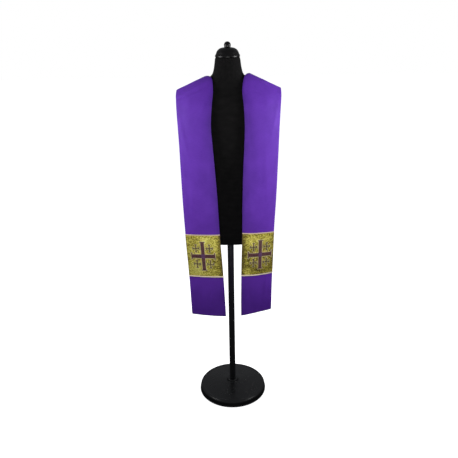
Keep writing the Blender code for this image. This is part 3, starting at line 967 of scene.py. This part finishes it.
silks = {}
for trim in TRIMS:
    silks[trim.name] = silk_cord(f"cream silk cord, {trim.name}", trim.dark, trim.light)
for label, drape in drapes.items():
    for trim in TRIMS:
        reach = (1 - EDGE_INSET) * float(drape.half_width(np.array(trim.centre)))
        out = np.linspace(-reach, reach, CORD_POINTS)
        ends = np.clip((reach - np.abs(out)) / END_TAPER, 0.0, 1.0)
        bm = bmesh.new()
        for strand in range(STRANDS):
            turn = out / TWIST * math.tau + strand / STRANDS * math.tau
            length = trim.centre + trim.half_height * np.cos(turn)
            lift = CLOTH + trim.strand_radius * CORD_LOWEST + trim.half_depth * (1 + np.sin(turn))
            lift -= END_DIP * (1 - ends)
            points = drape.place(length, out / drape.half_width(length), lift)
            tube_along(bm, points, trim.strand_radius)
        bmesh.ops.remove_doubles(bm, verts=bm.verts, dist=0.00001)
        cord = piece_from(bm, f"twisted_cord_{trim.name}_{label}", silks[trim.name])
        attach(cord, "root")
        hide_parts(f"trim_{trim.name}_{label}")


# --- The Jerusalem crosses ----------------------------------------------------------------------------
# One large cross potent and four small ones, worked in satin stitch over padding and outlined with a
# couched gold thread. The large one is maroon with a violet square at its middle, and the small ones
# are brown.
Potent = namedtuple("Potent", "half_width half_height upright level end_bar end_wide end_tall")
LARGE_CROSS = Potent(0.0512, 0.0648, 0.0150, 0.0172, 0.0045, 0.0215, 0.0310)
SMALL_CROSS = Potent(0.0145, 0.0180, 0.0045, 0.0045, 0.0035, 0.0110, 0.0130)
SMALL_OUT = 0.0285  # centre of a small cross from the large one's, across the strip
SMALL_UP = 0.0350  # and along it
CROSS_OUTWARDS = {"right": 0.0030, "left": 0.0070}  # the emblem's centre, from the middle of the strip
CROSS_LOWER = {"right": 0.0006, "left": 0.0020}  # and how far it sits below the middle of the band
ON_BAND = ON_STRIP + BAND_CLOTH - 0.0001
PAD = 0.0011  # height of the padding under the large cross
SMALL_PAD = 0.0008
THREAD = 0.00055  # width of one stitch
OUTLINE = 0.00072  # radius of the couched thread
SMALL_OUTLINE = 0.00048
REACH_SPREAD = 0.00015  # how unevenly the stitches end
STITCH_COLUMNS = 4  # of faces in one stitch
STITCH_ROUNDS = 14
RIDGE = 0.16  # how far the thread stands above the grooves beside it, as a share of the pad
PAD_ROUND = 0.7  # a power: below one, the padding is fuller than a round
MIDDLE_BLOCK = 4  # which block is the square in the middle
MIDDLE_LAP = 0.0002  # how far that one laps over the bars
MIDDLE_PAD = 1.12  # and how much higher its padding is
OUTLINE_STEP = 0.0012


def stitch_material(name, dark, light):
    """Floss whose shade changes from one stitch to the next, and in patches where it is rubbed."""
    material, nodes, links, shader = new_material(
        name, {"Roughness": 0.5, "Specular IOR Level": 0.35, "Sheen Weight": 0.15}
    )
    stitch = add_node(nodes, "Attribute", attribute_name="stitch")
    where = add_node(nodes, "TexCoord")
    rubbed = add_node(nodes, "TexNoise", {"Scale": 150.0, "Detail": 2.0})
    spread = add_node(nodes, "MapRange", {"From Min": 0.32, "From Max": 0.68})
    either = add_node(nodes, "Mix", {"Factor": 0.55})
    shade = add_ramp(nodes, (0.0, dark), (1.0, light))
    wire(
        links,
        (where, "Object", rubbed, "Vector"),
        (rubbed, "Fac", spread, "Value"),
        (stitch, "Fac", either, 2),
        (spread, "Result", either, 3),
        (either, 0, shade, "Fac"),
        (shade, "Color", shader, "Base Color"),
    )
    return material


maroon = stitch_material("maroon floss", (0.046, 0.012, 0.023), (0.180, 0.068, 0.074))
violet = stitch_material("violet floss", (0.075, 0.022, 0.090), (0.185, 0.068, 0.205))
brown = stitch_material("brown floss", (0.050, 0.028, 0.010), (0.110, 0.066, 0.022))
gold_thread = stitch_material("pale gold thread", (0.84, 0.70, 0.34), (1.0, 0.90, 0.55))


def satin(bm, drape, along, out, pad, upright, material_index, seed):
    """One block of satin stitch between two lengths and two places across. Upright stitches run along the
    strip."""
    run, span = (out, along) if upright else (along, out)
    count = max(3, round((run[1] - run[0]) / THREAD))
    columns = count * STITCH_COLUMNS
    made = bmesh.ops.create_grid(bm, x_segments=columns, y_segments=STITCH_ROUNDS, size=1.0)["verts"]
    stitch_layer = bm.verts.layers.float["stitch"]
    random = np.random.default_rng(seed)
    tone = random.uniform(0.0, 1.0, count + 1)
    reach = random.uniform(-REACH_SPREAD, REACH_SPREAD, (count + 1, 2))
    middle, half = (span[0] + span[1]) / 2, (span[1] - span[0]) / 2
    places = np.empty((len(made), 3))
    for i, vert in enumerate(made):
        column = round((vert.co.x + 1) / 2 * columns)
        turn = (vert.co.y + 1) / 2 * math.tau
        number = min(count - 1, column // STITCH_COLUMNS)
        ridge = abs(math.sin(column / STITCH_COLUMNS * math.pi))
        at_end = column in (0, columns)
        top = max(0.0, math.sin(turn))
        side = math.cos(turn)
        width = half + (0.0 if at_end else reach[number][0 if side < 0 else 1])
        height = 0.0 if at_end else pad * top**PAD_ROUND * ((1 - RIDGE) + RIDGE * ridge)
        places[i] = (run[0] + (run[1] - run[0]) * column / columns, middle + side * width, height)
        vert[stitch_layer] = tone[number]
    run_at, span_at, lift = places.T
    length, outs = (span_at, run_at) if upright else (run_at, span_at)
    points = drape.place(length, outs / drape.half_width(length), ON_BAND + lift)
    for vert, point in zip(made, points):
        vert.co = point
    for face in {face for vert in made for face in vert.link_faces}:
        face.material_index = material_index


def corners_of(cross, grow):
    """The outline of a cross potent, run round once, as (out, along)."""
    w, h = cross.half_width + grow, cross.half_height + grow
    upright, level = cross.upright / 2 + grow, cross.level / 2 + grow
    e = cross.end_bar + 2 * grow
    wide, tall = cross.end_wide / 2 + grow, cross.end_tall / 2 + grow
    quarter = [
        (wide, h), (wide, h - e), (upright, h - e), (upright, level),
        (w - e, level), (w - e, tall), (w, tall),
    ]
    line = list(quarter)
    line += [(x, -y) for x, y in reversed(quarter)]
    line += [(-x, -y) for x, y in quarter]
    line += [(-x, y) for x, y in reversed(quarter)]
    return line


def embroider(name, drape, cross, centre_along, centre_out, pad, outline, floss, seed):
    """A whole cross: its bars and end bars in satin stitch and its couched outline."""
    bm = bmesh.new()
    bm.verts.layers.float.new("stitch")
    u, v, e = cross.upright / 2, cross.level / 2, cross.end_bar
    w, h = cross.half_width - e, cross.half_height - e
    wide, tall, lap = cross.end_wide / 2, cross.end_tall / 2, MIDDLE_LAP
    blocks = [  # lengths, places across, and whether the stitches run along the strip
        ((v, h), (-u, u), False),
        ((-h, -v), (-u, u), False),
        ((-v, v), (u, w), True),
        ((-v, v), (-w, -u), True),
        ((-v - lap, v + lap), (-u - lap, u + lap), False),
        ((h, h + e), (-wide, wide), True),
        ((-h - e, -h), (-wide, wide), True),
        ((-tall, tall), (w, w + e), False),
        ((-tall, tall), (-w - e, -w), False),
    ]
    for number, (along, out, upright) in enumerate(blocks):
        is_middle = number == MIDDLE_BLOCK
        satin(
            bm, drape, [place + centre_along for place in along], [place + centre_out for place in out],
            pad * (MIDDLE_PAD if is_middle else 1.0), upright, int(is_middle), seed + number,
        )
    bmesh.ops.remove_doubles(bm, verts=bm.verts, dist=0.000002)
    bmesh.ops.recalc_face_normals(bm, faces=bm.faces)
    corners = corners_of(cross, outline)
    line = []
    for (x0, y0), (x1, y1) in zip(corners, corners[1:] + corners[:1]):
        steps = max(2, round(math.hypot(x1 - x0, y1 - y0) / OUTLINE_STEP))
        for i in range(steps):
            ahead = i + 0.5
            line.append((x0 + (x1 - x0) * ahead / steps, y0 + (y1 - y0) * ahead / steps))
    out, along = np.array(line).T + np.array([[centre_out], [centre_along]])
    points = drape.place(along, out / drape.half_width(along), ON_BAND + outline)
    before = len(bm.faces)
    tube_along(bm, points, outline, closed=True, resolution=1)
    bm.faces.ensure_lookup_table()
    for face in bm.faces[before:]:
        face.material_index = 2
    piece = piece_from(bm, name, floss[0])
    piece.data.materials.append(floss[1])
    piece.data.materials.append(gold_thread)
    return piece


for label, drape in drapes.items():
    centre_out = CROSS_OUTWARDS[label]
    middle = (BAND_FOOT + BAND_HEAD) / 2 - CROSS_LOWER[label]
    large = embroider(
        f"embroidered_cross_{label}", drape, LARGE_CROSS, middle, centre_out, PAD, OUTLINE,
        (maroon, violet), 10,
    )
    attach(large, "root")
    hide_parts(f"cross_{label}")
    quarters = [(up, out) for up in (-1, 1) for out in (-1, 1)]
    for number, (up, out) in enumerate(quarters, start=1):
        small = embroider(
            f"embroidered_small_cross_{label}_{number}", drape, SMALL_CROSS, middle + up * SMALL_UP,
            centre_out + out * SMALL_OUT, SMALL_PAD, SMALL_OUTLINE, (brown, brown), 20 * number,
        )
        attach(small, "root")
        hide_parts(f"small_cross_{label}_{number}")
